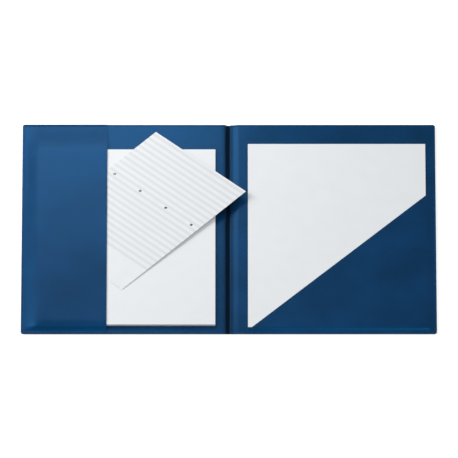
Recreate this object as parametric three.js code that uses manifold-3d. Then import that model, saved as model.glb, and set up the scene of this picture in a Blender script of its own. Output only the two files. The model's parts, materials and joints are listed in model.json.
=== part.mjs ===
// Document folder of welded plastic film over board, lying open with its inside up.
// Its front cover holds a pad and a loose ruled sheet under a flap, and its back cover
// holds plain sheets behind a diagonal pocket. Sizes are in millimetres.
// +X runs from the front cover to the back cover, +Y to the head of the pages and +Z up.
// The origin is in the middle of the open folder, on the surface that it lies on.

import * as THREE from 'three';
import { mergeVertices } from 'three/addons/utils/BufferGeometryUtils.js';
import Module from 'manifold-3d';

const wasm = await Module();
wasm.setup();

// Paper that the folder is made to hold
const pageWidth = 210;
const pageHeight = 297;

// Plain sheets in the back cover: the margins round them make the size of both covers
const plainThickness = 1;
const plainHingeMargin = 14.6; // from the hinge line
const plainEdgeMargin = 11.8; // from the free edge
const plainFootMargin = 8.7;
const plainHeadMargin = 32.7;

// Covers
const cornerRadius = 3;
const filmThickness = 0.4;
const boardThickness = 1.8;
const boardCornerRadius = 1;
const weldWidth = 3; // band round the free edges where the films are welded together
const fitClearance = 0.3; // room between pieces that are cut, turned or bent

// Spine and hinge lines
const hingeSpan = 15.8; // between the two hinge lines
const hingeClearance = 0.05; // between the outer films when a hinge is folded
const liningHingeClearance = 0.1; // the same for the linings
const hingeFlange = 1.2; // flat film beside a hinge line
const liningSlope = 2.6; // run of the lining from the board down to the flange
const spineStripWidth = 3.4;
const spineStripThickness = 0.8;
const spineStripOffset = 3.8; // from the middle of the spine towards the back cover
const spineLiningSlope = 1; // run of the spine's lining down from its strip

// Pad of the front cover
const padSheetsThickness = 2.6;
const padBoardThickness = 0.6;
const padFootMargin = 10.7;
const padHeadMargin = 43.7;
const padHingeMargin = 8.1;

// Flap over the pad
const flapWidth = 100.5;
const flapLead = 1; // from where the flap reaches its full height to what it covers

// Loose ruled sheet
const ruledWidth = 146.3;
const ruledLength = 213;
const ruledThickness = 0.3;
const ruledAngle = -43.2; // degrees, of its ruled lines
const ruledEdgeMargin = 12; // from the cover's free edge to its hidden corner
const ruledHeadMargin = 16.4; // from the head of the cover to its uppermost corner
const ruledLift = 4.4; // rise of its corner over the spine
const ruledLiftCurve = 1.2; // power by which it rises from the flap to that corner
const ruledHoleRadius = 1.5;
const ruledHoleCount = 4;
const ruledHolePitch = 41.4;
const ruledHoleRow = 82.5; // from the row of holes to the sheet's upper edge
const ruledFirstHole = 11; // from the flap side of the sheet

// Diagonal pocket over the plain sheets
const pocketFootStart = 11.5; // from the hinge line to the pocket's corner at the foot
const pocketSideHeight = 233.3; // height of the pocket at the free edge
const pocketLead = 0.7; // from where the pocket reaches its full height to the sheets

// Label on the outer face of the front cover
const labelWidth = 87;
const labelHeight = 25;
const labelHeadMargin = 30; // from the head of the cover
const labelHingeMargin = 84; // from the hinge line
const labelTabLength = 3.4;
const labelTabWidth = 8;
const windowThickness = 0.15;
const cardThickness = 0.25;

// Sizes and levels that follow from the ones above
const coverWidth = plainHingeMargin + pageWidth + plainEdgeMargin; // from a hinge line to the free edge
const coverHeight = plainFootMargin + pageHeight + plainHeadMargin;
const halfHeight = coverHeight / 2;
const hingeX = hingeSpan / 2;
const edgeX = hingeX + coverWidth;
const coverThickness = 2 * filmThickness + boardThickness;
const rimLevel = coverThickness / 2;
const boardTop = filmThickness + boardThickness;
const weldInnerX = edgeX - weldWidth;
const weldInnerY = halfHeight - weldWidth;
const outerFilmStart = filmThickness / 2 + hingeClearance;
const liningStart = 1.5 * filmThickness + liningHingeClearance;
const slopeEnd = hingeFlange + liningSlope;
const padTop = coverThickness + padBoardThickness + padSheetsThickness;
const ruledBase = padTop + fitClearance;
const flapBase = ruledBase + ruledThickness + fitClearance;
const pocketBase = coverThickness + plainThickness + fitClearance;
const tallerThanAll = 2 * (flapBase + ruledLift);
const front = -1;
const back = 1;

const filmBlue = '#1e4a73';
const liningBlue = '#1f4568';
const pocketBlue = '#1e3f60';
const paperWhite = '#e5e9ec';
const greyboard = '#8f8a80';
const cardGrey = '#b9bcbd';
const windowClear = '#dfe6ea';

const group = new THREE.Group();

// Solids and meshes

function toSolid(geometry) {
  const bare = geometry.index ? geometry.toNonIndexed() : geometry.clone();
  bare.deleteAttribute('normal');
  bare.deleteAttribute('uv');
  const merged = mergeVertices(bare, 1e-4);
  return new wasm.Manifold(new wasm.Mesh({
    numProp: 3,
    vertProperties: Float32Array.from(merged.attributes.position.array),
    triVerts: Uint32Array.from(merged.index.array),
  }));
}

function toGeometry(solid) {
  const mesh = solid.getMesh();
  const geometry = new THREE.BufferGeometry();
  geometry.setAttribute('position', new THREE.BufferAttribute(Float32Array.from(mesh.vertProperties), 3));
  geometry.setIndex(new THREE.BufferAttribute(Uint32Array.from(mesh.triVerts), 1));
  geometry.computeVertexNormals();
  return geometry;
}

function addPiece(name, solid, color, roughness) {
  const material = new THREE.MeshStandardMaterial({ color, roughness, metalness: 0 });
  const mesh = new THREE.Mesh(toGeometry(solid), material);
  mesh.name = name;
  group.add(mesh);
  return mesh;
}

// Place on a cover at a distance from its hinge line
const onCover = (side, distance) => side * (hingeX + distance);

function block(xA, xB, y0, y1, z0, z1) {
  const geometry = new THREE.BoxGeometry(Math.abs(xB - xA), y1 - y0, z1 - z0);
  geometry.translate((xA + xB) / 2, (y0 + y1) / 2, (z0 + z1) / 2);
  return toSolid(geometry);
}

// Upright prism over an outline of [x, y] points
function prism(points, z0, z1) {
  const shape = new THREE.Shape(points.map(([x, y]) => new THREE.Vector2(x, y)));
  const geometry = new THREE.ExtrudeGeometry(shape, { depth: z1 - z0, bevelEnabled: false });
  geometry.translate(0, 0, z0);
  return toSolid(geometry);
}

// Bar along Y with a section of [x, z] points
function barAlongY(points, y0, y1) {
  const shape = new THREE.Shape(points.map(([x, z]) => new THREE.Vector2(x, z)));
  const geometry = new THREE.ExtrudeGeometry(shape, { depth: y1 - y0, bevelEnabled: false });
  geometry.rotateX(Math.PI / 2);
  geometry.translate(0, y1, 0);
  return toSolid(geometry);
}

// Plate whose two corners at xFree are rounded
function roundedPlate(xHinge, xFree, halfLength, radius, z0, z1) {
  const side = Math.sign(xFree - xHinge);
  const steps = 6;
  const points = [[xHinge, -halfLength]];
  for (let i = 0; i <= steps; i += 1) {
    const angle = (Math.PI / 2) * (i / steps);
    points.push([
      xFree - side * radius * (1 - Math.sin(angle)),
      -halfLength + radius * (1 - Math.cos(angle)),
    ]);
  }
  for (let i = 0; i <= steps; i += 1) {
    const angle = (Math.PI / 2) * (i / steps);
    points.push([
      xFree - side * radius * (1 - Math.cos(angle)),
      halfLength - radius * (1 - Math.sin(angle)),
    ]);
  }
  points.push([xHinge, halfLength]);
  return prism(points, z0, z1);
}

// Bent sheet over the stations us and vs: place(u, v) gives a point of its underside
function bentSheet(us, vs, thickness, place) {
  const positions = [];
  for (const level of [0, thickness]) {
    for (const u of us) {
      for (const v of vs) {
        const [x, y, z] = place(u, v);
        positions.push(x, y, z + level);
      }
    }
  }
  const under = (i, j) => i * vs.length + j;
  const over = (i, j) => us.length * vs.length + under(i, j);
  const triangles = [];
  const quad = (a, b, c, d) => triangles.push(a, b, c, a, c, d);
  const lastU = us.length - 1;
  const lastV = vs.length - 1;
  for (let i = 0; i < lastU; i += 1) {
    for (let j = 0; j < lastV; j += 1) {
      quad(over(i, j), over(i + 1, j), over(i + 1, j + 1), over(i, j + 1));
      quad(under(i, j), under(i, j + 1), under(i + 1, j + 1), under(i + 1, j));
    }
  }
  for (let i = 0; i < lastU; i += 1) {
    quad(under(i, 0), under(i + 1, 0), over(i + 1, 0), over(i, 0));
    quad(under(i + 1, lastV), under(i, lastV), over(i, lastV), over(i + 1, lastV));
  }
  for (let j = 0; j < lastV; j += 1) {
    quad(under(0, j + 1), under(0, j), over(0, j), over(0, j + 1));
    quad(under(lastU, j), under(lastU, j + 1), over(lastU, j + 1), over(lastU, j));
  }
  const geometry = new THREE.BufferGeometry();
  geometry.setAttribute('position', new THREE.BufferAttribute(new Float32Array(positions), 3));
  geometry.setIndex(triangles);
  return toSolid(geometry);
}

// Evenly spaced stations from start to end
function stations(start, end, steps) {
  return Array.from({ length: steps + 1 }, (_, i) => start + ((end - start) * i) / steps);
}

const smooth = (value, low, high) => THREE.MathUtils.smoothstep(value, low, high);

// Space over a cover, inside its rounded outline
const coverOutline = (side) => roundedPlate(onCover(side, 0), side * edgeX, halfHeight, cornerRadius, 0, tallerThanAll);

// Covers: an outer film and a lining film, welded round the free edges, with board between

function weldRims(side, z0, z1) {
  const inner = onCover(side, slopeEnd);
  return block(side * weldInnerX, side * edgeX, -halfHeight, halfHeight, z0, z1)
    .add(block(inner, side * edgeX, weldInnerY, halfHeight, z0, z1))
    .add(block(inner, side * edgeX, -halfHeight, -weldInnerY, z0, z1));
}

function outerFilm(side) {
  const start = onCover(side, outerFilmStart);
  return block(start, side * edgeX, -halfHeight, halfHeight, 0, filmThickness)
    .add(weldRims(side, filmThickness, rimLevel))
    .intersect(coverOutline(side));
}

function liningFilm(side) {
  const underside = [
    [liningStart, filmThickness],
    [hingeFlange, filmThickness],
    [slopeEnd, boardTop],
    [coverWidth, boardTop],
  ];
  const topside = underside.map(([distance, z]) => [distance, z + filmThickness]).reverse();
  const section = [...underside, ...topside].map(([distance, z]) => [onCover(side, distance), z]);
  return barAlongY(section, -halfHeight, halfHeight)
    .add(weldRims(side, rimLevel, boardTop))
    .intersect(coverOutline(side));
}

function coverBoard(side) {
  const inset = weldWidth + fitClearance;
  return roundedPlate(
    onCover(side, slopeEnd + fitClearance), side * (edgeX - inset),
    halfHeight - inset, boardCornerRadius, filmThickness, boardTop,
  );
}

// Label: a grey card with a pointed tab, behind a clear window set flush in the outer film

const labelHingeX = onCover(front, labelHingeMargin);
const labelFarX = labelHingeX - labelWidth;
const labelHeadY = halfHeight - labelHeadMargin;
const labelFootY = labelHeadY - labelHeight;

function labelWindow(z0, z1) {
  return block(labelFarX, labelHingeX, labelFootY, labelHeadY, z0, z1);
}

function labelCard() {
  const middleY = (labelHeadY + labelFootY) / 2;
  const tipX = labelFarX + fitClearance;
  const bodyX = tipX + labelTabLength;
  return prism([
    [labelHingeX - fitClearance, labelFootY + fitClearance],
    [labelHingeX - fitClearance, labelHeadY - fitClearance],
    [bodyX, labelHeadY - fitClearance],
    [bodyX, middleY + labelTabWidth / 2],
    [tipX, middleY],
    [bodyX, middleY - labelTabWidth / 2],
    [bodyX, labelFootY + fitClearance],
  ], windowThickness, windowThickness + cardThickness);
}

const frontOuterFilm = outerFilm(front).subtract(labelWindow(-filmThickness, 2 * filmThickness));
addPiece('front_outer_film', frontOuterFilm, filmBlue, 0.45);
addPiece('front_cover_board', coverBoard(front), greyboard, 0.9);
addPiece('front_lining_film', liningFilm(front), liningBlue, 0.5);
addPiece('label_window', labelWindow(0, windowThickness), windowClear, 0.15);
addPiece('label_card', labelCard(), cardGrey, 0.8);

addPiece('back_outer_film', outerFilm(back), filmBlue, 0.45);
addPiece('back_cover_board', coverBoard(back), greyboard, 0.9);
addPiece('back_lining_film', liningFilm(back), liningBlue, 0.5);

// Spine: two films with a narrow board strip between them

const spineEnd = hingeX - outerFilmStart;
const stripFrontX = spineStripOffset - spineStripWidth / 2;
const stripBackX = spineStripOffset + spineStripWidth / 2;
const stripTop = filmThickness + spineStripThickness;

function spineLining() {
  const crestFrontX = stripFrontX - fitClearance;
  const crestBackX = stripBackX + fitClearance;
  const underside = [
    [liningStart - hingeX, filmThickness],
    [crestFrontX - spineLiningSlope, filmThickness],
    [crestFrontX, stripTop],
    [crestBackX, stripTop],
    [crestBackX + spineLiningSlope, filmThickness],
    [hingeX - liningStart, filmThickness],
  ];
  const topside = underside.map(([x, z]) => [x, z + filmThickness]).reverse();
  return barAlongY([...underside, ...topside], -halfHeight, halfHeight)
    .add(block(crestFrontX, crestBackX, weldInnerY, halfHeight, filmThickness, stripTop))
    .add(block(crestFrontX, crestBackX, -halfHeight, -weldInnerY, filmThickness, stripTop));
}

function spineStrip() {
  const half = weldInnerY - fitClearance;
  return block(stripFrontX, stripBackX, -half, half, filmThickness, stripTop);
}

addPiece('spine_outer_film', block(-spineEnd, spineEnd, -halfHeight, halfHeight, 0, filmThickness), filmBlue, 0.45);
addPiece('spine_strip', spineStrip(), greyboard, 0.9);
addPiece('spine_lining_film', spineLining(), liningBlue, 0.5);

// Pad: sheets on a backing board, slipped under the flap

const padRightX = onCover(front, padHingeMargin);
const padLeftX = padRightX - pageWidth;
const padFootY = -halfHeight + padFootMargin;
const padHeadY = halfHeight - padHeadMargin;
const padBoardTop = coverThickness + padBoardThickness;

const padBoard = block(padLeftX, padRightX, padFootY, padHeadY, coverThickness, padBoardTop);
const padSheets = block(padLeftX, padRightX, padFootY, padHeadY, padBoardTop, padTop);
addPiece('pad_back_board', padBoard, greyboard, 0.9);
addPiece('pad_sheets', padSheets, paperWhite, 0.85);

// Loose ruled sheet: one end under the flap, the other lifting over the spine

const flapEdgeX = -edgeX + flapWidth;
const ruledHiddenX = -edgeX + ruledEdgeMargin;
const ruledTurn = THREE.MathUtils.degToRad(ruledAngle);

// Spot on the ruled sheet, a along it from its upper edge and b across it from its flap side
function ruledSpot(a, b) {
  const x = ruledHiddenX - (ruledLength - a) * Math.sin(ruledTurn) + b * Math.cos(ruledTurn);
  const y = halfHeight - ruledHeadMargin - a * Math.cos(ruledTurn) + b * Math.sin(ruledTurn);
  return [x, y];
}

function ruledSheet() {
  const [tipX] = ruledSpot(0, ruledWidth);
  const place = (a, b) => {
    const [x, y] = ruledSpot(a, b);
    const share = Math.max(0, (x - flapEdgeX) / (tipX - flapEdgeX));
    return [x, y, ruledBase + ruledLift * share ** ruledLiftCurve];
  };
  let sheet = bentSheet(stations(0, ruledLength, 26), stations(0, ruledWidth, 18), ruledThickness, place);
  for (let i = 0; i < ruledHoleCount; i += 1) {
    const [x, y, z] = place(ruledHoleRow, ruledFirstHole + i * ruledHolePitch);
    const hole = new THREE.CylinderGeometry(ruledHoleRadius, ruledHoleRadius, 4 * ruledThickness, 16);
    hole.rotateX(Math.PI / 2);
    hole.translate(x, y, z);
    sheet = sheet.subtract(toSolid(hole));
  }
  return sheet;
}

addPiece('ruled_sheet', ruledSheet(), paperWhite, 0.85);

// Flap: film welded to the cover along three edges, which rises over the pad and the ruled sheet

function flapPocket() {
  const sideTop = Math.min(padLeftX, ruledHiddenX) - flapLead;
  const footTop = padFootY - flapLead;
  const headTop = padHeadY + flapLead;
  const xs = [-edgeX, ...stations(-weldInnerX, sideTop, 5), flapEdgeX];
  const ys = [
    -halfHeight,
    ...stations(-weldInnerY, footTop, 5),
    ...stations(headTop, weldInnerY, 12),
    halfHeight,
  ];
  const rise = flapBase - coverThickness;
  const place = (x, y) => {
    const fromSide = smooth(x, -weldInnerX, sideTop);
    const fromFoot = smooth(y, -weldInnerY, footTop);
    const fromHead = 1 - smooth(y, headTop, weldInnerY);
    return [x, y, coverThickness + rise * fromSide * fromFoot * fromHead];
  };
  return bentSheet(xs, ys, filmThickness, place).intersect(coverOutline(front));
}

addPiece('flap_pocket', flapPocket(), pocketBlue, 0.5);

// Plain sheets and the diagonal pocket that holds their lower corner

const plainLeftX = onCover(back, plainHingeMargin);
const plainRightX = edgeX - plainEdgeMargin;
const plainFootY = -halfHeight + plainFootMargin;
const plainHeadY = halfHeight - plainHeadMargin;

function plainSheets() {
  const top = coverThickness + plainThickness;
  return block(plainLeftX, plainRightX, plainFootY, plainHeadY, coverThickness, top);
}

function diagonalPocket() {
  const footX = onCover(back, pocketFootStart);
  const sideY = -halfHeight + pocketSideHeight;
  const sideTop = plainRightX + pocketLead;
  const footTop = plainFootY - pocketLead;
  const xs = [footX, ...stations(sideTop, weldInnerX, 6), edgeX];
  const ys = [-halfHeight, ...stations(-weldInnerY, footTop, 5), sideY];
  const rise = pocketBase - coverThickness;
  const place = (x, y) => {
    const fromSide = 1 - smooth(x, sideTop, weldInnerX);
    const fromFoot = smooth(y, -weldInnerY, footTop);
    return [x, y, coverThickness + rise * fromSide * fromFoot];
  };
  const corner = prism([[footX, -halfHeight], [edgeX, -halfHeight], [edgeX, sideY]], 0, tallerThanAll);
  return bentSheet(xs, ys, filmThickness, place).intersect(corner).intersect(coverOutline(back));
}

addPiece('pocket_sheets', plainSheets(), paperWhite, 0.85);
addPiece('diagonal_pocket', diagonalPocket(), pocketBlue, 0.5);

export default group;
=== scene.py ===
# Looks of a document folder that lies open: welded plastic film, paper, board and a label.
# Everything is in metres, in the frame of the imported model.
import json
import math

import bmesh
import bpy
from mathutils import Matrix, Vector, noise


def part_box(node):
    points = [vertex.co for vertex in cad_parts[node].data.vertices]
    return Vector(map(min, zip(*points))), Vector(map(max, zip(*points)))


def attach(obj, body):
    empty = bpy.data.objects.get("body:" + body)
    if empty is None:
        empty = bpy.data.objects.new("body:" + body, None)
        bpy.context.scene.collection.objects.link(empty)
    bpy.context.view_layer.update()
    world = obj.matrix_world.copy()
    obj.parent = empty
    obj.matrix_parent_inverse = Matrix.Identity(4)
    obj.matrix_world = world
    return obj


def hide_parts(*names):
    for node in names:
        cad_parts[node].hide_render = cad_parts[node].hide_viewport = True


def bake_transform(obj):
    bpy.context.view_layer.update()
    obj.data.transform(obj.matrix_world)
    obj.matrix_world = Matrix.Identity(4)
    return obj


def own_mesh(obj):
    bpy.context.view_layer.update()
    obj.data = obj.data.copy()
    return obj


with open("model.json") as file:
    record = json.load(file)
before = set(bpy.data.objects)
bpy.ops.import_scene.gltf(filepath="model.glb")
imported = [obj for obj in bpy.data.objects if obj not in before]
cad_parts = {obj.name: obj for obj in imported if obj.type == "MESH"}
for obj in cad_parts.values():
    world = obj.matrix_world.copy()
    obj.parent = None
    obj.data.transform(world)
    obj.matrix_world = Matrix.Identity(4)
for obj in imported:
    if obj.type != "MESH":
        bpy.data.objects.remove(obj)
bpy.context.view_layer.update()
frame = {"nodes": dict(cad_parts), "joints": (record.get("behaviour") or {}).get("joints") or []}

MM = 0.001
FRONT, BACK = -1, 1

# Sizes read from the frame
EDGE_X, HALF_Y, RIM_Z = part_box("back_outer_film")[1]
COVER_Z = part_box("back_lining_film")[1].z
FILM = COVER_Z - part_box("back_cover_board")[1].z
OUTER_THICKNESS = 0.95 * FILM  # a hair less than the film's space, so that it stays clear of the board
POCKET_THICKNESS = 0.8 * FILM  # of the flap and the diagonal pocket
HINGE_X = {joint["name"]: joint["pos_m"][0] for joint in frame["joints"]}["spine_hinge"]
flap_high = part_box("flap_pocket")[1]
pad_low, pad_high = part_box("pad_sheets")
pad_board_low, pad_board_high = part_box("pad_back_board")
plain_low, plain_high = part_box("pocket_sheets")
pocket_low, pocket_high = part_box("diagonal_pocket")
window_low, window_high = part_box("label_window")
ruled_low, ruled_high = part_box("ruled_sheet")

# Welded rim: steps inwards from the edge of a film, each with its rise
CORNER_RADIUS = 3 * MM
CORNER_SEGMENTS = 7
RIM_STEPS = [
    (0.04 * MM, 0.62 * MM),
    (0.11 * MM, 0.38 * MM),
    (0.30 * MM, 0.14 * MM),
    (1.30 * MM, 0.02 * MM),
    (0.28 * MM, -0.14 * MM),
    (0.22 * MM, 0.00 * MM),
    (0.40 * MM, 0.28 * MM),
]
RIM_WIDTH = sum(step for step, rise in RIM_STEPS)
RIM_SUPPORT = 0.8 * MM  # flat band inside the rim, which keeps its shading off the cover

# Gutter of the spine: place across it and level of the lining's top, from cover to cover
SEAM_X = 0.4 * MM
GUTTER = [
    (-12.0, 2.60), (-9.6, 2.59), (-6.6, 2.57), (-5.0, 2.53), (-4.2, 2.42), (-3.7, 2.20), (-3.4, 1.84),
    (-3.0, 1.34), (-1.8, 1.02), (-0.4, 0.82), (0.4, 0.74), (1.3, 0.68), (1.42, 1.06), (1.6, 1.42),
    (1.9, 1.62), (2.3, 1.66), (3.4, 1.64), (4.8, 1.64), (5.5, 1.71), (7.0, 1.93), (8.6, 2.19),
    (10.2, 2.45), (11.3, 2.57), (12.6, 2.60),
]
# Painted shade in and beside the gutter's groove, where the film's colour is darkened and its sheen lowered
# to stand in for the shade there: place across the spine, and share
GUTTER_PAINTED_SHADE = [
    (-9.6, 0.0), (-4.6, 0.3), (-3.0, 0.9), (-0.4, 0.95), (1.3, 0.7), (2.3, 0.3), (4.8, 0.3), (5.6, 0.0),
]
GRID_STEP = 12 * MM  # between the rows of points of a flat film
ROW_LAP = 1 * MM  # by which the close rows beside a paper's edge reach over it


# Camera, at the height angle of the photograph

PHOTO_PIXELS = 458
PHOTO_WIDTH = 540.3 * MM  # of what the picture takes in at the folder
CAMERA_HEIGHT_ANGLE = math.radians(46.57)
LENS_MM = 1500
SENSOR_MM = 36
ORIGIN_PIXEL = (228.87, 229.75)


def place_camera():
    across = Vector((1, 0, 0))
    up = Vector((0, math.sin(CAMERA_HEIGHT_ANGLE), math.cos(CAMERA_HEIGHT_ANGLE)))
    back = Vector((0, -math.cos(CAMERA_HEIGHT_ANGLE), math.sin(CAMERA_HEIGHT_ANGLE)))
    pixel = PHOTO_WIDTH / PHOTO_PIXELS
    middle = PHOTO_PIXELS / 2
    target = across * (middle - ORIGIN_PIXEL[0]) * pixel - up * (middle - ORIGIN_PIXEL[1]) * pixel
    distance = PHOTO_WIDTH * LENS_MM / SENSOR_MM
    data = bpy.data.cameras.new("camera")
    data.lens = LENS_MM
    data.sensor_width = SENSOR_MM
    data.clip_start = 1
    data.clip_end = 60
    camera = bpy.data.objects.new("camera", data)
    camera.location = target + back * distance
    camera.rotation_mode = "QUATERNION"
    camera.rotation_quaternion = (-back).to_track_quat("-Z", "Y")
    bpy.context.scene.collection.objects.link(camera)
    bpy.context.scene.camera = camera


place_camera()


# Materials

def linear(code):
    """Turns an sRGB hex colour into linear red, green, blue and alpha."""
    parts = [int(code[i:i + 2], 16) / 255 for i in (1, 3, 5)]
    return tuple(c / 12.92 if c <= 0.04045 else ((c + 0.055) / 1.055) ** 2.4 for c in parts) + (1.0,)


def node(tree, kind, inputs=None, **settings):
    """Adds a node with its settings. An input is a value, or the socket that it comes from."""
    made = tree.nodes.new(kind)
    for key, value in settings.items():
        setattr(made, key, value)
    for key, value in (inputs or {}).items():
        if isinstance(value, bpy.types.NodeSocket):
            tree.links.new(value, made.inputs[key])
        else:
            made.inputs[key].default_value = value
    return made


def start_material(name):
    made = bpy.data.materials.new(name)
    made.use_nodes = True
    made.node_tree.nodes.clear()
    return made, made.node_tree


def end_material(tree, shader):
    node(tree, "ShaderNodeOutputMaterial", {"Surface": shader.outputs[0]})


def mixed_colour(tree, factor, low, high):
    return node(tree, "ShaderNodeMix", {"Factor": factor, "A": low, "B": high}, data_type="RGBA")


SHEEN_TINT = (0.0, 0.36, 1.0, 1.0)  # the pigment lies so near the skin that it colours the sheen
# colour of the painted shade in the gutter's groove
GUTTER_PAINTED_SHADE_COLOUR = "#030a12"


def pvc_film(name, light, dark, grain_mm, grain_depth_mm, roughness):
    """Calendered PVC film with a fine leather grain: a satin sheen that the grain breaks up,
    and a deep colour that drifts a little over a hand's width."""
    made, tree = start_material(name)
    place = node(tree, "ShaderNodeTexCoord").outputs["Object"]
    drift = node(tree, "ShaderNodeTexNoise", {"Vector": place, "Scale": 1 / (60 * MM), "Detail": 3.0})
    fleck = node(tree, "ShaderNodeTexNoise", {"Vector": place, "Scale": 1 / (2.2 * MM), "Detail": 2.0})
    both = node(tree, "ShaderNodeMix", {"Factor": 0.35, "A": drift.outputs[0], "B": fleck.outputs[0]})
    spread = node(tree, "ShaderNodeMapRange", {"Value": both.outputs[0], "From Min": 0.35, "From Max": 0.65})
    colour = mixed_colour(tree, spread.outputs[0], linear(dark), linear(light))
    # Painted shade in the gutter: there the film's colour is darkened and its sheen lowered, to stand in for
    # the shade in the groove
    gutter_painted_shade = node(tree, "ShaderNodeAttribute", attribute_name="gutter_painted_shade").outputs["Fac"]
    colour = mixed_colour(tree, gutter_painted_shade, colour.outputs["Result"], linear(GUTTER_PAINTED_SHADE_COLOUR))
    gloss = node(tree, "ShaderNodeMapRange", {"Value": gutter_painted_shade, "To Min": 1.0, "To Max": 0.15})
    cells = node(
        tree, "ShaderNodeTexVoronoi", {"Vector": place, "Scale": 1 / (grain_mm * MM), "Smoothness": 0.6},
        feature="SMOOTH_F1",
    )
    grit = node(tree, "ShaderNodeTexNoise", {"Vector": place, "Scale": 1 / (0.7 * MM), "Detail": 1.0})
    relief = node(
        tree, "ShaderNodeMath", {0: grit.outputs[0], 1: 0.4, 2: cells.outputs["Distance"]},
        operation="MULTIPLY_ADD",
    )
    bump = node(
        tree, "ShaderNodeBump",
        {"Strength": 0.6, "Distance": grain_depth_mm * MM, "Height": relief.outputs[0]},
    )
    sheen = node(
        tree, "ShaderNodeMapRange",
        {"Value": drift.outputs[0], "To Min": roughness - 0.05, "To Max": roughness + 0.05},
    )
    shader = node(
        tree, "ShaderNodeBsdfPrincipled",
        {"Base Color": colour.outputs["Result"], "Roughness": sheen.outputs[0], "IOR": 1.53,
         "Specular IOR Level": gloss.outputs[0], "Specular Tint": SHEEN_TINT, "Normal": bump.outputs[0]},
    )
    end_material(tree, shader)
    return made


def paper_sides(tree, place):
    """How far a face is turned to the side, and the fine lines that the sheets' edges draw there."""
    normal = node(tree, "ShaderNodeNewGeometry").outputs["Normal"]
    split = node(tree, "ShaderNodeSeparateXYZ", {"Vector": normal})
    level = node(tree, "ShaderNodeMath", {0: split.outputs["Z"]}, operation="ABSOLUTE")
    side = node(tree, "ShaderNodeMapRange", {"Value": level.outputs[0], "From Min": 0.8, "From Max": 0.3})
    # Sheets are a tenth of a millimetre thick, and are drawn three to a line so that they show
    stretched = node(tree, "ShaderNodeMapping", {"Vector": place, "Scale": (0.02, 0.02, 1.0)})
    lines = node(
        tree, "ShaderNodeTexNoise", {"Vector": stretched.outputs[0], "Scale": 1 / (0.3 * MM), "Detail": 2.0},
    )
    return side, lines


def writing_paper(name, white, shade, ruled=False):
    """Uncoated wood-free paper: matt, faintly cloudy, with a felt of fibres in its surface."""
    made, tree = start_material(name)
    place = node(tree, "ShaderNodeTexCoord").outputs["Object"]
    cloud = node(tree, "ShaderNodeTexNoise", {"Vector": place, "Scale": 1 / (18 * MM), "Detail": 4.0})
    fibre = node(tree, "ShaderNodeTexNoise", {"Vector": place, "Scale": 1 / (0.8 * MM), "Detail": 3.0})
    tone = node(tree, "ShaderNodeMapRange", {"Value": cloud.outputs[0], "From Min": 0.3, "From Max": 0.7})
    colour = mixed_colour(tree, tone.outputs[0], linear(shade), linear(white)).outputs["Result"]
    if ruled:
        colour = mixed_colour(tree, ruling(tree), colour, linear(RULE_GREY)).outputs["Result"]
        # painted shade round the punched holes
        colour = mixed_colour(tree, hole_painted_shade(tree), colour, linear(HOLE_SHADE_GREY)).outputs["Result"]
    side, lines = paper_sides(tree, place)
    streak = node(tree, "ShaderNodeMath", {0: side.outputs[0], 1: lines.outputs[0]}, operation="MULTIPLY")
    amount = node(tree, "ShaderNodeMath", {0: streak.outputs[0], 1: 0.35}, operation="MULTIPLY")
    colour = mixed_colour(tree, amount.outputs[0], colour, linear("#9aa0a4")).outputs["Result"]
    relief = node(tree, "ShaderNodeMath", {0: fibre.outputs[0], 1: streak.outputs[0]}, operation="ADD")
    bump = node(
        tree, "ShaderNodeBump", {"Strength": 0.35, "Distance": 0.03 * MM, "Height": relief.outputs[0]},
    )
    shader = node(
        tree, "ShaderNodeBsdfPrincipled",
        {"Base Color": colour, "Roughness": 0.85, "IOR": 1.45, "Specular IOR Level": 0.3,
         "Normal": bump.outputs[0]},
    )
    end_material(tree, shader)
    return made


# Ruled sheet: its ruling is printed along its length, and its UV map covers it from corner to corner
RULE_GREY = "#d8dbdd"
# painted shade round the punched holes
HOLE_SHADE_GREY = "#3a3835"
RULED_SIZE = (146.3 * MM, 213 * MM)
RULE_PITCH = 8.24 * MM
RULE_FIRST = 4.6 * MM
RULE_COUNT = 21
RULE_WEIGHT = 3.4 * MM  # heavier than a printed rule, and soft, so that it shows from a step away
RULE_SOFT = 1.5 * MM

HOLE_RADIUS = 0.9 * MM
HOLE_COUNT = 4
HOLE_PITCH = 41.4 * MM
HOLE_ROW = 82.5 * MM
FIRST_HOLE = 11 * MM
HOLE_SHADE_BAND = 1.0 * MM  # band of painted shade round a punched hole, standing in for the shade inside it; wider and darker than that shade would be, so that it shows


def hole_painted_shade(tree):
    """1 on the band of painted shade round a punched hole and 0 elsewhere."""
    spot = node(tree, "ShaderNodeUVMap", uv_map="UVMap").outputs[0]
    from_first = node(
        tree, "ShaderNodeVectorMath",
        {0: spot, 1: (*RULED_SIZE, 1), 2: (-FIRST_HOLE, HOLE_ROW - RULED_SIZE[1], 0)},
        operation="MULTIPLY_ADD",
    )
    split = node(tree, "ShaderNodeSeparateXYZ", {"Vector": from_first.outputs[0]})
    repeat = node(tree, "ShaderNodeMath", {0: split.outputs["X"], 1: HOLE_PITCH}, operation="PINGPONG")
    other = node(tree, "ShaderNodeMath", {0: HOLE_PITCH, 1: repeat.outputs[0]}, operation="SUBTRACT")
    nearest = node(tree, "ShaderNodeMath", {0: repeat.outputs[0], 1: other.outputs[0]}, operation="MINIMUM")
    place = node(tree, "ShaderNodeCombineXYZ", {"X": nearest.outputs[0], "Y": split.outputs["Y"]})
    distance = node(tree, "ShaderNodeVectorMath", {0: place.outputs[0]}, operation="LENGTH")
    rim = node(
        tree, "ShaderNodeMapRange",
        {"Value": distance.outputs["Value"], "From Min": HOLE_RADIUS + HOLE_SHADE_BAND,
         "From Max": HOLE_RADIUS + 0.5 * HOLE_SHADE_BAND},
    )
    return rim.outputs[0]


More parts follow.
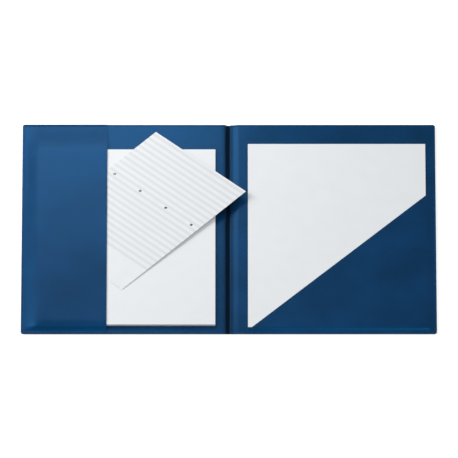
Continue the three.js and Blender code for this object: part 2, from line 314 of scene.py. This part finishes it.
def ruling(tree):
    """1 on a printed rule and 0 between the rules."""
    spot = node(tree, "ShaderNodeUVMap", uv_map="UVMap").outputs[0]
    along = node(tree, "ShaderNodeSeparateXYZ", {"Vector": spot}).outputs["Y"]
    down = node(
        tree, "ShaderNodeMath", {0: along, 1: -RULED_SIZE[1], 2: RULED_SIZE[1] - RULE_FIRST},
        operation="MULTIPLY_ADD",
    )
    nearest = node(tree, "ShaderNodeMath", {0: down.outputs[0], 1: RULE_PITCH / 2}, operation="PINGPONG")
    rule = node(
        tree, "ShaderNodeMapRange",
        {"Value": nearest.outputs[0], "From Min": RULE_WEIGHT / 2 + RULE_SOFT,
         "From Max": RULE_WEIGHT / 2 - RULE_SOFT},
    )
    last = (RULE_COUNT - 0.5) * RULE_PITCH
    before = node(tree, "ShaderNodeMath", {0: down.outputs[0], 1: last}, operation="LESS_THAN")
    both = node(tree, "ShaderNodeMath", {0: rule.outputs[0], 1: before.outputs[0]}, operation="MULTIPLY")
    return both.outputs[0]


def grey_board(name, light, dark):
    """Solid greyboard made of waste paper: matt, with specks of ink and fibre."""
    made, tree = start_material(name)
    place = node(tree, "ShaderNodeTexCoord").outputs["Object"]
    speck = node(tree, "ShaderNodeTexNoise", {"Vector": place, "Scale": 1 / (1.2 * MM), "Detail": 5.0})
    tone = node(tree, "ShaderNodeMapRange", {"Value": speck.outputs[0], "From Min": 0.35, "From Max": 0.65})
    colour = mixed_colour(tree, tone.outputs[0], linear(dark), linear(light))
    bump = node(tree, "ShaderNodeBump", {"Strength": 0.4, "Distance": 0.05 * MM, "Height": speck.outputs[0]})
    shader = node(
        tree, "ShaderNodeBsdfPrincipled",
        {"Base Color": colour.outputs["Result"], "Roughness": 0.9, "Normal": bump.outputs[0]},
    )
    end_material(tree, shader)
    return made


def clear_window(name):
    """Clear rigid PVC: a glossy skin that lets the card show through, with faint haze and ripples."""
    made, tree = start_material(name)
    place = node(tree, "ShaderNodeTexCoord").outputs["Object"]
    ripple = node(tree, "ShaderNodeTexNoise", {"Vector": place, "Scale": 1 / (14 * MM), "Detail": 2.0})
    bump = node(tree, "ShaderNodeBump", {"Strength": 0.1, "Distance": 0.02 * MM, "Height": ripple.outputs[0]})
    shader = node(
        tree, "ShaderNodeBsdfPrincipled",
        {"Base Color": linear("#e8eef0"), "Roughness": 0.16, "IOR": 1.53, "Alpha": 0.22,
         "Normal": bump.outputs[0]},
    )
    end_material(tree, shader)
    return made


OUTER_FILM = pvc_film("pvc film, outer, leather grained", "#0c304e", "#0a2a46", 1.6, 0.11, 0.37)
LINING_FILM = pvc_film("pvc film, lining, fine grained", "#0e3961", "#0a2d4c", 1.2, 0.08, 0.35)
POCKET_FILM = pvc_film("pvc film, pockets, fine grained", "#0e375f", "#0a2b4a", 1.2, 0.08, 0.35)
PLAIN_PAPER = writing_paper("uncoated paper, white", "#e9ecee", "#e7eaec")
RULED_PAPER = writing_paper("uncoated paper, ruled", "#e8ebee", "#e5e8ea", ruled=True)
BOARD = grey_board("greyboard, solid", "#98938a", "#7d786f")
LABEL_CARD = grey_board("card, pale grey", "#c2c5c6", "#b4b7b8")
CLEAR_FILM = clear_window("pvc sheet, clear")


# Modelling by hand

def deselect_all():
    if bpy.context.mode != "OBJECT":
        bpy.ops.object.mode_set(mode="OBJECT")
    bpy.ops.object.select_all(action="DESELECT")


def select_only(piece):
    deselect_all()
    piece.select_set(True)
    bpy.context.view_layer.objects.active = piece


def work_on(piece):
    select_only(piece)
    bpy.ops.object.mode_set(mode="EDIT")


def end_work(piece):
    """Leaves edit mode and puts the piece's place into its mesh."""
    bpy.ops.object.mode_set(mode="OBJECT")
    bpy.ops.object.transform_apply(location=True, rotation=True, scale=True)
    piece.select_set(False)


def pick(piece, test, kind="VERT"):
    """Selects the vertices, edges or faces whose middle passes the test, and nothing else."""
    bpy.ops.mesh.select_mode(type=kind)
    bpy.ops.mesh.select_all(action="DESELECT")
    mesh = bmesh.from_edit_mesh(piece.data)
    for part in {"VERT": mesh.verts, "EDGE": mesh.edges, "FACE": mesh.faces}[kind]:
        if kind == "VERT":
            middle = part.co
        elif kind == "EDGE":
            middle = (part.verts[0].co + part.verts[1].co) / 2
        else:
            middle = part.calc_center_median()
        part.select_set(bool(test(middle)))
    mesh.select_flush_mode()
    bmesh.update_edit_mesh(piece.data)


def cut(place, normal, clear=False):
    """Cuts the whole piece along a plane, and may clear what lies on the normal's side of it."""
    bpy.ops.mesh.select_all(action="SELECT")
    bpy.ops.mesh.bisect(plane_co=place, plane_no=normal, clear_outer=clear)


def cut_rows(xs, ys):
    for x in xs:
        cut((x, 0, 0), (1, 0, 0))
    for y in ys:
        cut((0, y, 0), (0, 1, 0))


def rows(low, high, step=GRID_STEP):
    count = max(1, round((high - low) / step))
    return [low + (high - low) * i / count for i in range(1, count)]


def apply_modifiers(piece):
    select_only(piece)
    for modifier in list(piece.modifiers):
        bpy.ops.object.modifier_apply(modifier=modifier.name)
    piece.select_set(False)


def thicken(piece, thickness):
    """Gives a film or sheet its thickness, away from the side that it faces."""
    solid = piece.modifiers.new("thickness", "SOLIDIFY")
    solid.thickness = thickness
    solid.offset = -1
    solid.use_even_offset = False
    apply_modifiers(piece)


def smooth_faces(piece, degrees=35):
    select_only(piece)
    bpy.ops.object.shade_smooth_by_angle(angle=math.radians(degrees))
    piece.select_set(False)


def dress(piece, material):
    piece.data.materials.clear()
    piece.data.materials.append(material)


def new_plane(name, x0, x1, y0, y1, z):
    deselect_all()
    bpy.ops.mesh.primitive_plane_add(size=1, location=((x0 + x1) / 2, (y0 + y1) / 2, z))
    piece = bpy.context.object
    piece.name = name
    piece.scale = (x1 - x0, y1 - y0, 1)
    bpy.ops.object.transform_apply(location=True, rotation=True, scale=True)
    return piece


def ease(value, low, high):
    share = min(1.0, max(0.0, (value - low) / (high - low)))
    return share * share * (3 - 2 * share)


def ramp(value, low, high):
    return min(1.0, max(0.0, (value - low) / (high - low)))


def wave(x, y, size, seed):
    """A soft unevenness from -1 to 1, with humps of about the given size."""
    return noise.noise(Vector((x / size, y / size, seed)))


def uneven(waves, co):
    """Height of an unevenness made of waves, each with its height, its size and its seed."""
    return sum(height * wave(co.x, co.y, size, seed) for height, size, seed in waves)


def along_line(points, x):
    """Level of a line of points at x."""
    for (x0, z0), (x1, z1) in zip(points, points[1:]):
        if x <= x1:
            return z0 + (z1 - z0) * ramp(x, x0, x1)
    return points[-1][1]


def gutter_share(x):
    """Level of the films at x, as a share of the cover's thickness."""
    return along_line(GUTTER, x / MM) * MM / COVER_Z


def press_rim(steps):
    """Draws the rim inwards from the outline, step by step, from the whole face selected."""
    for step, rise in steps:
        bpy.ops.mesh.inset(thickness=step, use_boundary=True)
        bpy.ops.transform.translate(value=(0, 0, rise))


def welded_panel(name, x0, x1, y0, y1, z, round_corners, steps):
    """A plane with rounded corners where asked, and a welded rim all round."""
    piece = new_plane(name, x0, x1, y0, y1, z)
    work_on(piece)
    for corner in round_corners:
        pick(piece, lambda co, c=corner: (Vector((co.x, co.y)) - Vector(c)).length < 1e-5)
        bpy.ops.mesh.bevel(offset=CORNER_RADIUS, segments=CORNER_SEGMENTS, affect="VERTICES")
    bpy.ops.mesh.select_mode(type="FACE")
    bpy.ops.mesh.select_all(action="SELECT")
    press_rim(steps)
    return piece


def cover_film(name, side, z, extra_rows=()):
    """Film of one cover with its half of the spine, from the free edge to the seam in the gutter."""
    spare = 2 * RIM_WIDTH
    free = side * EDGE_X
    end = SEAM_X - side * spare
    corners = [(free, HALF_Y), (free, -HALF_Y)]
    piece = welded_panel(name, min(free, end), max(free, end), -HALF_Y, HALF_Y, z, corners, RIM_STEPS)
    cut((SEAM_X, 0, 0), (-side, 0, 0), clear=True)
    inner = EDGE_X - RIM_WIDTH
    flat_start = GUTTER[-1][0] * MM
    xs = [side * x for x in rows(flat_start, inner) + [flat_start, inner - RIM_SUPPORT]]
    xs += [x * MM for x, level in GUTTER if side * (x * MM - SEAM_X) > 1e-6]
    reach = HALF_Y - RIM_WIDTH
    ys = rows(-reach, reach) + [RIM_SUPPORT - reach, reach - RIM_SUPPORT]
    cut_rows(xs + list(extra_rows), ys)
    return piece


def inside_rim(co, margin=0.05 * MM):
    reach = RIM_WIDTH - margin
    return abs(co.x) < EDGE_X - reach and abs(co.y) < HALF_Y - reach


# Linings: the films that face up inside the folder

LINING_DIP = 0.06 * MM  # of the lining's unevenness, downwards
LINING_WAVE = 70 * MM
DIP_START = 13 * MM  # from the middle, outside the gutter
DIP_FADE = 20 * MM  # from the free edges to where the unevenness is at its full depth


def make_lining(name, side, seed):
    piece = cover_film(name, side, RIM_Z)
    end_work(piece)
    for vertex in piece.data.vertices:
        co = vertex.co
        if inside_rim(co) and abs(co.x) > DIP_START:
            across = ease(EDGE_X - abs(co.x), RIM_WIDTH, DIP_FADE)
            along = ease(HALF_Y - abs(co.y), RIM_WIDTH, DIP_FADE)
            co.z -= LINING_DIP * (1 + wave(co.x, co.y, LINING_WAVE, seed)) * across * along
        co.z *= gutter_share(co.x)
    # painted shade of the gutter, carried on the points to the film's material
    gutter_painted_shade = piece.data.attributes.new("gutter_painted_shade", "FLOAT", "POINT")
    for vertex in piece.data.vertices:
        gutter_painted_shade.data[vertex.index].value = along_line(GUTTER_PAINTED_SHADE, vertex.co.x / MM)
    thicken(piece, FILM)
    smooth_faces(piece)
    dress(piece, LINING_FILM)
    return piece


front_lining = make_lining("front_lining", FRONT, 1.3)
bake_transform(front_lining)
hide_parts("front_lining_film")

back_lining = make_lining("back_lining", BACK, 4.1)
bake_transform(back_lining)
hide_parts("back_lining_film", "spine_lining_film")


# Outer films: the faces that the folder lies on, with two pressed lines beside the spine

PRESSED_LINES = (8.4 * MM, 11.2 * MM)  # from the hinge line
LINE_HALF = 0.45 * MM
LINE_DEPTH = 0.18 * MM
LABEL_WELD = 1.6 * MM  # from the label's opening to the weld line round it


def line_depth(distance):
    """Depth of a pressed line at a distance from its middle."""
    return LINE_DEPTH * (1 - min(1, abs(distance) / (0.9 * LINE_HALF)))


def label_weld_depth(co):
    """Depth of the pressed line that frames the label's opening."""
    beside = max(window_low.x - co.x, co.x - window_high.x, window_low.y - co.y, co.y - window_high.y)
    return line_depth(beside - LABEL_WELD)


def make_outer_film(name, side, with_label):
    lines = [side * (HINGE_X + distance) for distance in PRESSED_LINES]
    extra = [x + shift for x in lines for shift in (-LINE_HALF, 0, LINE_HALF)]
    piece = cover_film(name, side, COVER_Z - RIM_Z, extra)
    if with_label:
        for gap in (0, LABEL_WELD - LINE_HALF, LABEL_WELD, LABEL_WELD + LINE_HALF):
            cut_rows(
                (window_low.x - gap, window_high.x + gap), (window_low.y - gap, window_high.y + gap),
            )
        pick(
            piece,
            lambda co: window_low.x < co.x < window_high.x and window_low.y < co.y < window_high.y, "FACE",
        )
        bpy.ops.mesh.delete(type="FACE")
    end_work(piece)
    for vertex in piece.data.vertices:
        co = vertex.co
        if inside_rim(co):
            depth = max(line_depth(co.x - x) for x in lines)
            if with_label:
                depth = max(depth, label_weld_depth(co))
            co.z -= depth
        co.z = (COVER_Z - co.z) * gutter_share(co.x)
    work_on(piece)
    bpy.ops.mesh.select_all(action="SELECT")
    bpy.ops.mesh.flip_normals()
    end_work(piece)
    thicken(piece, OUTER_THICKNESS)
    smooth_faces(piece)
    dress(piece, OUTER_FILM)
    return piece


front_outer = make_outer_film("front_outer", FRONT, True)
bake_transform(front_outer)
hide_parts("front_outer_film")

back_outer = make_outer_film("back_outer", BACK, False)
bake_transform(back_outer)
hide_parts("back_outer_film", "spine_outer_film")


# Flap: film that rises from its welded edges over the pad and the ruled sheet

FLAP_TOP = 6.72 * MM  # level of its top over the pad
FLAP_RISE_END = pad_low.x + 2 * MM
FLAP_FOOT_GAP = 0.6 * MM  # from the pad's foot to where the flap is at its full rise
FLAP_STEP_ACROSS = 6 * MM  # between its rows, on the pad
FLAP_STEP_ALONG = 8 * MM
SLOPE_STEP = 1.4 * MM  # between its rows beside the pad
HEAD_STEP = 2.5 * MM
FOOT_STEP = 1.1 * MM
FLAP_WAVES = [(0.10 * MM, 45 * MM, 7.7), (0.08 * MM, 110 * MM, 2.2)]
FLAP_RIM_Z = COVER_Z - 0.4 * MM  # level of the outline of a film that is welded onto a cover
FLAP_STEPS = [
    (0.04 * MM, 0.38 * MM),
    (0.11 * MM, 0.24 * MM),
    (0.30 * MM, 0.08 * MM),
    (1.30 * MM, 0.02 * MM),
    (0.28 * MM, -0.16 * MM),
    (0.22 * MM, 0.00 * MM),
    (0.40 * MM, 0.14 * MM),
]
FLAP_BASE = FLAP_RIM_Z + sum(rise for step, rise in FLAP_STEPS)


def stretched(value, low, high):
    """Rise of a film from a weld to an edge that holds it up: nearly straight, with soft ends."""
    return 0.6 * ramp(value, low, high) + 0.4 * ease(value, low, high)


def flap_rise(x, y):
    """Share of its full rise that the flap has: stretched from the welds to the pad's edges."""
    left = stretched(x, -EDGE_X + RIM_WIDTH, FLAP_RISE_END)
    foot = ease(y, -HALF_Y + RIM_WIDTH, pad_low.y - FLAP_FOOT_GAP)
    head = stretched(-y, RIM_WIDTH - HALF_Y, -pad_high.y)
    return left * foot * head


def make_flap():
    spare = 2 * RIM_WIDTH
    edge = flap_high.x
    corners = [(-EDGE_X, HALF_Y), (-EDGE_X, -HALF_Y)]
    piece = welded_panel(
        "flap", -EDGE_X, edge + spare, -HALF_Y, HALF_Y, FLAP_RIM_Z, corners, FLAP_STEPS,
    )
    cut((edge, 0, 0), (1, 0, 0), clear=True)
    inner_x = -EDGE_X + RIM_WIDTH
    inner_y = HALF_Y - RIM_WIDTH
    xs = rows(inner_x, FLAP_RISE_END, SLOPE_STEP) + rows(FLAP_RISE_END, edge, FLAP_STEP_ACROSS)
    ys = rows(-inner_y, pad_low.y, FOOT_STEP) + rows(pad_low.y, pad_high.y, FLAP_STEP_ALONG)
    ys += rows(pad_high.y - ROW_LAP, inner_y, HEAD_STEP)
    cut_rows(xs + [FLAP_RISE_END], ys)
    end_work(piece)
    for vertex in piece.data.vertices:
        co = vertex.co
        if inside_rim(co):
            co.z += (FLAP_TOP - FLAP_BASE + uneven(FLAP_WAVES, co)) * flap_rise(co.x, co.y)
    thicken(piece, POCKET_THICKNESS)
    smooth_faces(piece)
    dress(piece, POCKET_FILM)
    return piece


flap = make_flap()
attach(flap, "front_cover")
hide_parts("flap_pocket")


# Diagonal pocket: film welded at the foot and the free edge, over the corner of the plain sheets

POCKET_TOP = 4.2 * MM
POCKET_GAP = 0.4 * MM  # from the plain sheets to where the pocket is at its full rise
POCKET_STEP = 7 * MM  # between its rows, on the sheets
POCKET_SIDE_STEP = 1.2 * MM
POCKET_FOOT_STEP = 1 * MM
POCKET_WAVES = [(0.09 * MM, 50 * MM, 3.4)]


def make_pocket():
    spare = 3 * RIM_WIDTH
    foot_x, side_y = pocket_low.x, pocket_high.y
    piece = welded_panel(
        "diagonal_film", foot_x - 2 * spare, EDGE_X, -HALF_Y, side_y + 2 * spare, FLAP_RIM_Z,
        [(EDGE_X, -HALF_Y)], FLAP_STEPS,
    )
    run = Vector((EDGE_X - foot_x, side_y + HALF_Y, 0))
    cut((foot_x, -HALF_Y, 0), (-run.y, run.x, 0), clear=True)
    inner_x = EDGE_X - RIM_WIDTH
    xs = rows(foot_x, plain_high.x, POCKET_STEP) + rows(plain_high.x - ROW_LAP, inner_x, POCKET_SIDE_STEP)
    ys = rows(-HALF_Y + RIM_WIDTH, plain_low.y + ROW_LAP, POCKET_FOOT_STEP)
    ys += rows(plain_low.y, side_y, POCKET_STEP)
    cut_rows(xs, ys)
    end_work(piece)
    for vertex in piece.data.vertices:
        co = vertex.co
        if inside_rim(co):
            side = 1 - ease(co.x, plain_high.x + POCKET_GAP, inner_x)
            foot = ease(co.y, -HALF_Y + RIM_WIDTH, plain_low.y - POCKET_GAP)
            co.z += (POCKET_TOP - FLAP_BASE + uneven(POCKET_WAVES, co)) * side * foot
    thicken(piece, POCKET_THICKNESS)
    smooth_faces(piece)
    dress(piece, POCKET_FILM)
    return piece


pocket = make_pocket()
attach(pocket, "back_cover")
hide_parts("diagonal_pocket")


# Paper: stacks whose sheets lie a little out of line

PAD_OUT_OF_LINE = 0.25 * MM
PLAIN_OUT_OF_LINE = 0.3 * MM
SHEET_CORNER = 0.4 * MM
BOARD_CORNER = 0.6 * MM
LAYER_GAP = 0.12  # half of the step between two layers, as a share of a layer
LAYER_REACH = 0.45  # from a layer's middle, as a share of it: the points that move with it


def make_stack(
    name, low, high, layers, out_of_line, seed, corner=SHEET_CORNER,
    material=PLAIN_PAPER,
):
    """A block of sheets: a cube sized to the stack, cut into layers that are pushed out of line."""
    deselect_all()
    bpy.ops.mesh.primitive_cube_add(size=1, location=(low + high) / 2)
    piece = bpy.context.object
    piece.name = name
    piece.scale = high - low
    bpy.ops.object.transform_apply(location=True, rotation=True, scale=True)
    work_on(piece)
    pick(piece, lambda co: abs(co.z - (low.z + high.z) / 2) < 1e-6, "EDGE")
    bpy.ops.mesh.bevel(offset=corner, segments=3, affect="EDGES")
    thickness = (high.z - low.z) / layers
    for i in range(1, layers):
        for shift in (-LAYER_GAP, LAYER_GAP):
            cut((0, 0, low.z + (i + shift) * thickness), (0, 0, 1))
    for i in range(layers):
        level = low.z + (i + 0.5) * thickness
        pick(piece, lambda co, z=level: abs(co.z - z) < LAYER_REACH * thickness)
        shift = Vector((noise.noise((i * 1.7, seed, 0.5)), noise.noise((seed, i * 1.7, 0.5)), 0))
        bpy.ops.transform.translate(value=shift * out_of_line)
    end_work(piece)
    smooth_faces(piece, 30)
    dress(piece, material)
    return piece


pad = make_stack("pad", pad_low, pad_high, 7, PAD_OUT_OF_LINE, 5.5)
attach(pad, "front_cover")
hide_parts("pad_sheets")

plain = make_stack("plain_sheets", plain_low, plain_high, 4, PLAIN_OUT_OF_LINE, 9.1)
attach(plain, "back_cover")
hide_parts("pocket_sheets")

pad_board = make_stack(
    "pad_board", pad_board_low, pad_board_high, 1, 0, 1.0, corner=BOARD_CORNER,
    material=BOARD,
)
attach(pad_board, "front_cover")
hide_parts("pad_back_board")


# Label window: a clear sheet that lies just off the card and inside the film's opening

WINDOW_GAP = Vector((1, 1, 0)) * 0.06 * MM
WINDOW_DEPTH = 0.1 * MM
WINDOW_CORNER = 0.2 * MM
window_top = Vector((window_high.x, window_high.y, window_low.z + WINDOW_DEPTH))
clear_sheet = make_stack(
    "clear_sheet", window_low + WINDOW_GAP, window_top - WINDOW_GAP, 1, 0, 1.0, corner=WINDOW_CORNER,
    material=CLEAR_FILM,
)
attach(clear_sheet, "front_cover")
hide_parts("label_window")


# Loose ruled sheet: one end under the flap, the rest lifting off the pad towards the spine

RULED_ANGLE = math.radians(-43.2)
RULED_THICKNESS = 0.14 * MM
RULED_REST = 0.08 * MM  # above the pad
RULED_LIFT = 4.4 * MM
RULED_LIFT_CURVE = 1.2
RULED_BEND = 0.24  # fall of the part under the flap, beyond the pad's edge
RULED_GRID = (48, 70)  # faces across and along
PUNCH_SIDES = 28
PUNCH_DEPTH = 4 * MM


def ruled_spot(a, b):
    """Place on the sheet, a along it from its upper edge and b across it from its flap side."""
    x = ruled_low.x - (RULED_SIZE[1] - a) * math.sin(RULED_ANGLE) + b * math.cos(RULED_ANGLE)
    y = ruled_high.y - a * math.cos(RULED_ANGLE) + b * math.sin(RULED_ANGLE)
    return x, y


def ruled_level(x):
    """Level of the sheet's top: it lifts towards the spine, and the flap bends its corner down."""
    share = max(0.0, (x - flap_high.x) / (ruled_high.x - flap_high.x))
    bend = RULED_BEND * max(0.0, pad_low.x - x)
    return pad_high.z + RULED_REST + RULED_THICKNESS + RULED_LIFT * share**RULED_LIFT_CURVE - bend


def make_ruled_sheet():
    deselect_all()
    middle = ruled_spot(RULED_SIZE[1] / 2, RULED_SIZE[0] / 2)
    bpy.ops.mesh.primitive_grid_add(
        x_subdivisions=RULED_GRID[0], y_subdivisions=RULED_GRID[1], size=1, location=(*middle, 0),
        rotation=(0, 0, RULED_ANGLE),
    )
    piece = bpy.context.object
    piece.name = "ruled_page"
    piece.scale = (RULED_SIZE[0], RULED_SIZE[1], 1)
    bpy.ops.object.transform_apply(location=True, rotation=True, scale=True)
    for vertex in piece.data.vertices:
        vertex.co.z = ruled_level(vertex.co.x)
    thicken(piece, RULED_THICKNESS)
    for i in range(HOLE_COUNT):
        x, y = ruled_spot(HOLE_ROW, FIRST_HOLE + i * HOLE_PITCH)
        punch_hole(piece, x, y, ruled_level(x))
    smooth_faces(piece)
    dress(piece, RULED_PAPER)
    return piece


def punch_hole(piece, x, y, z):
    deselect_all()
    bpy.ops.mesh.primitive_cylinder_add(
        vertices=PUNCH_SIDES, radius=HOLE_RADIUS, depth=PUNCH_DEPTH, location=(x, y, z),
    )
    punch = bpy.context.object
    hole = piece.modifiers.new("hole", "BOOLEAN")
    hole.operation = "DIFFERENCE"
    hole.object = punch
    hole.solver = "EXACT"
    apply_modifiers(piece)
    bpy.data.objects.remove(punch)


ruled = make_ruled_sheet()
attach(ruled, "front_cover")
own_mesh(ruled)
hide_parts("ruled_sheet")


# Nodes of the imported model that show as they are

for name in ("front_cover_board", "back_cover_board", "spine_strip"):
    dress(frame["nodes"][name], BOARD)
dress(frame["nodes"]["label_card"], LABEL_CARD)


# Floor, world and lamps

FLOOR_HALF = 6
FLOOR_Z = -0.02 * MM
FLOOR_GLOW = 0.45  # added for the camera alone, so that the lit floor is white to it
WORLD_STRENGTH = 0.22


def make_floor():
    made, tree = start_material("floor, white")
    camera_ray = node(tree, "ShaderNodeLightPath").outputs["Is Camera Ray"]
    glow = node(tree, "ShaderNodeMath", {0: camera_ray, 1: FLOOR_GLOW}, operation="MULTIPLY")
    matt = node(tree, "ShaderNodeBsdfDiffuse", {"Color": linear("#f2f2f2")})
    white = node(tree, "ShaderNodeEmission", {"Color": (1, 1, 1, 1), "Strength": glow.outputs[0]})
    both = node(tree, "ShaderNodeAddShader", {0: matt.outputs[0], 1: white.outputs[0]})
    end_material(tree, both)
    floor = new_plane("floor", -FLOOR_HALF, FLOOR_HALF, -FLOOR_HALF, FLOOR_HALF, FLOOR_Z)
    floor.data.materials.append(made)


def make_world():
    world = bpy.data.worlds.new("studio")
    bpy.context.scene.world = world
    world.use_nodes = True
    tree = world.node_tree
    tree.nodes.clear()
    camera_ray = node(tree, "ShaderNodeLightPath").outputs["Is Camera Ray"]
    strength = node(
        tree, "ShaderNodeMix", {"Factor": camera_ray, "A": WORLD_STRENGTH, "B": 1.0},
    )
    sky = node(tree, "ShaderNodeBackground", {"Color": (1, 1, 1, 1), "Strength": strength.outputs[0]})
    node(tree, "ShaderNodeOutputWorld", {"Surface": sky.outputs[0]})


def add_lamp(name, place, aim, width, height, power):
    data = bpy.data.lights.new(name, "AREA")
    data.shape = "RECTANGLE"
    data.size = width
    data.size_y = height
    data.energy = power
    lamp = bpy.data.objects.new(name, data)
    lamp.location = place
    lamp.rotation_euler = (Vector(aim) - Vector(place)).to_track_quat("-Z", "Y").to_euler()
    bpy.context.scene.collection.objects.link(lamp)


make_floor()
make_world()
# The key throws the papers' shadows, the sheen lamp draws the light on the flap and the gutter's slope
add_lamp("key", (-1.25, 0.36, 0.86), (0, 0, 0), 0.9, 0.9, 18.5)
add_lamp("sheen", (-0.20, 0.50, 0.365), (-0.13, 0.10, 0), 0.40, 0.16, 0.58)
add_lamp("fill", (0.6, -0.4, 1.6), (0, 0, 0), 1.0, 1.0, 12)
bpy.context.scene.view_settings.view_transform = "Standard"
